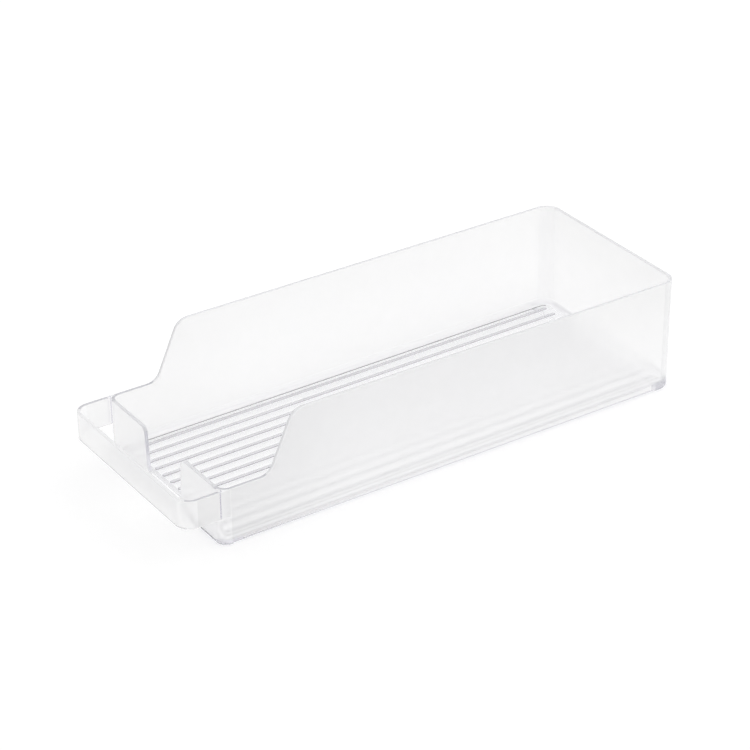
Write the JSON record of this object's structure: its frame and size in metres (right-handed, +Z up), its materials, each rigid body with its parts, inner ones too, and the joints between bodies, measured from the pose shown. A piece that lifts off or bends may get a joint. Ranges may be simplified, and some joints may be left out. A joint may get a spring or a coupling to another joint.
{
  "type": "open refrigerator bin",
  "caption": "Low open bin in frosted clear plastic: S-curved side rims, notched front wall, flat-strip pull loop, ribbed falling floor and corner feet.",
  "frame": {"origin": "bottom centre of the whole bin, on the plane that the feet stand on", "axes": "+Z up; +Y along the bin, from the pull loop at the front to the rear wall; +X across the bin"},
  "size_m": [0.111, 0.3, 0.0635],
  "materials": {
    "frosted_plastic": "frosted clear injection-moulded plastic of the polypropylene kind, softly hazed, smooth to the touch all over"
  },
  "bodies": {
    "root": {"tub": "frosted_plastic", "handle_loop": "frosted_plastic", "floor_ribs": "frosted_plastic", "front_feet": "frosted_plastic", "rear_feet": "frosted_plastic"}
  },
  "joints": []
}
